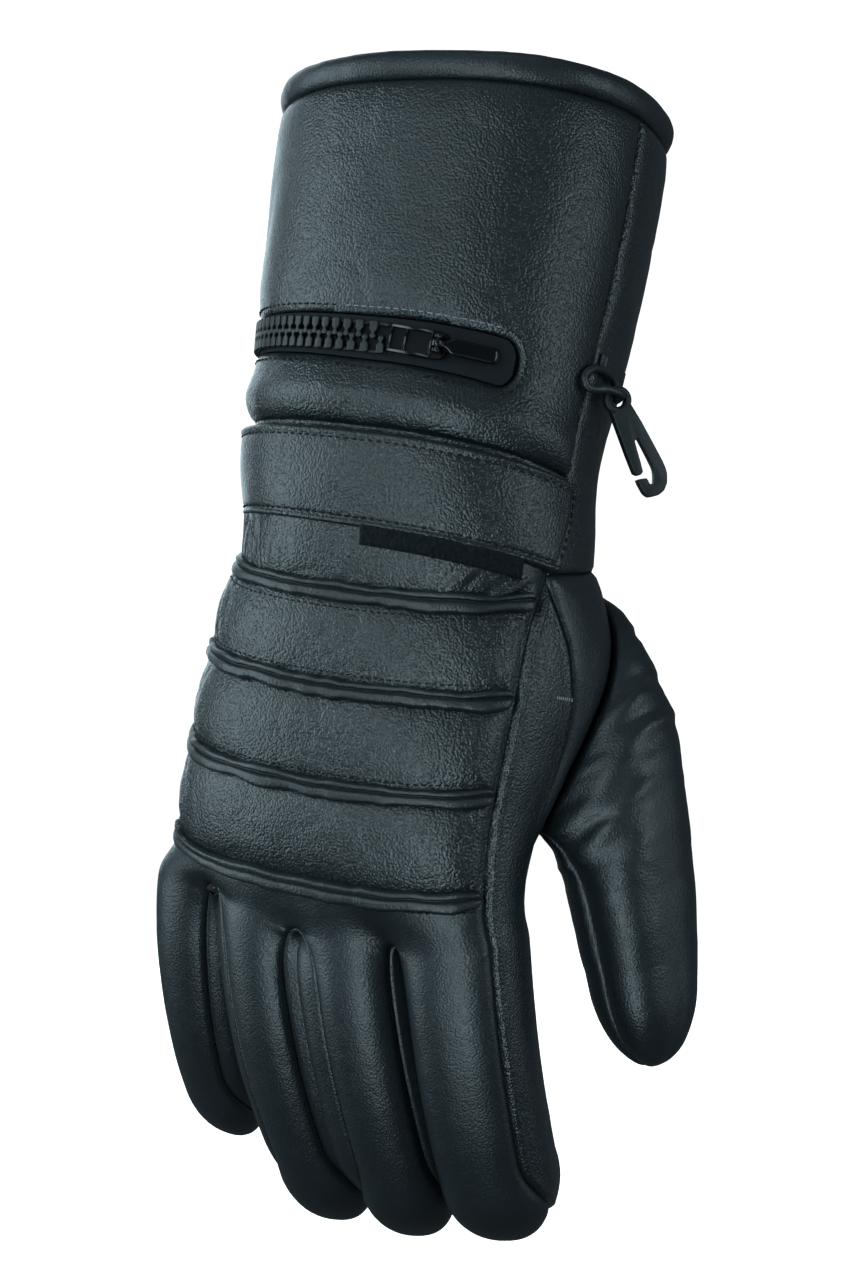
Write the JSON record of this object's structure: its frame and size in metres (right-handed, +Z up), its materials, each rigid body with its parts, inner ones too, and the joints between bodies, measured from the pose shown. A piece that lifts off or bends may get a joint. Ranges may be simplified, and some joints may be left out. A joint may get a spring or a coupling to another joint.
{
  "type": "motorcycle gauntlet",
  "caption": "Long-cuffed right leather riding glove with zipped cuff pocket, wrist strap, ribbed back, curled fingers and a snap hook on a lace.",
  "frame": {"origin": "centre of the cuff's mouth, where the wrist goes in", "axes": "+X towards the thumb side, -Y towards the back of the hand, +Z up the arm along the glove's length, fingers towards -Z"},
  "size_m": [0.1691, 0.1186, 0.3547],
  "materials": {
    "leather": "black grained leather with a soft sheen",
    "binding": "black leather roll, slightly glossier than the panels",
    "fabric": "matt black woven tape and fastener pile",
    "plastic": "black moulded plastic",
    "enamel": "black lacquered metal"
  },
  "bodies": {
    "glove": {"cuff_back": "leather", "cuff_palm": "leather", "wrist_panel": "leather", "back_band_1": "leather", "back_band_2": "leather", "back_band_3": "leather", "finger_backs": "leather", "palm": "leather", "side_strip": "leather", "fourchette_little_ring": "leather", "fourchette_ring_middle": "leather", "fourchette_middle_index": "leather", "thumb_back": "leather", "thumb_palm": "leather", "welt_1": "leather", "welt_2": "leather", "welt_3": "leather", "welt_4": "leather", "wrist_strap": "leather", "hang_loop": "leather", "rim_binding": "binding", "loop_patch": "fabric", "zip_tape": "fabric", "zip_teeth_upper": "plastic", "zip_teeth_lower": "plastic", "zip_slider": "enamel", "snap_hook": "plastic"},
    "pull": {"zip_pull": "enamel"}
  },
  "joints": [
    {"name": "zip_pull_hinge", "type": "hinge", "parent": "glove", "child": "pull", "pos_m": [0.01397, -0.06498, -0.07277], "axis": [-0.1579, -0.1757, -0.9717], "range_deg": [0, 150]}
  ]
}
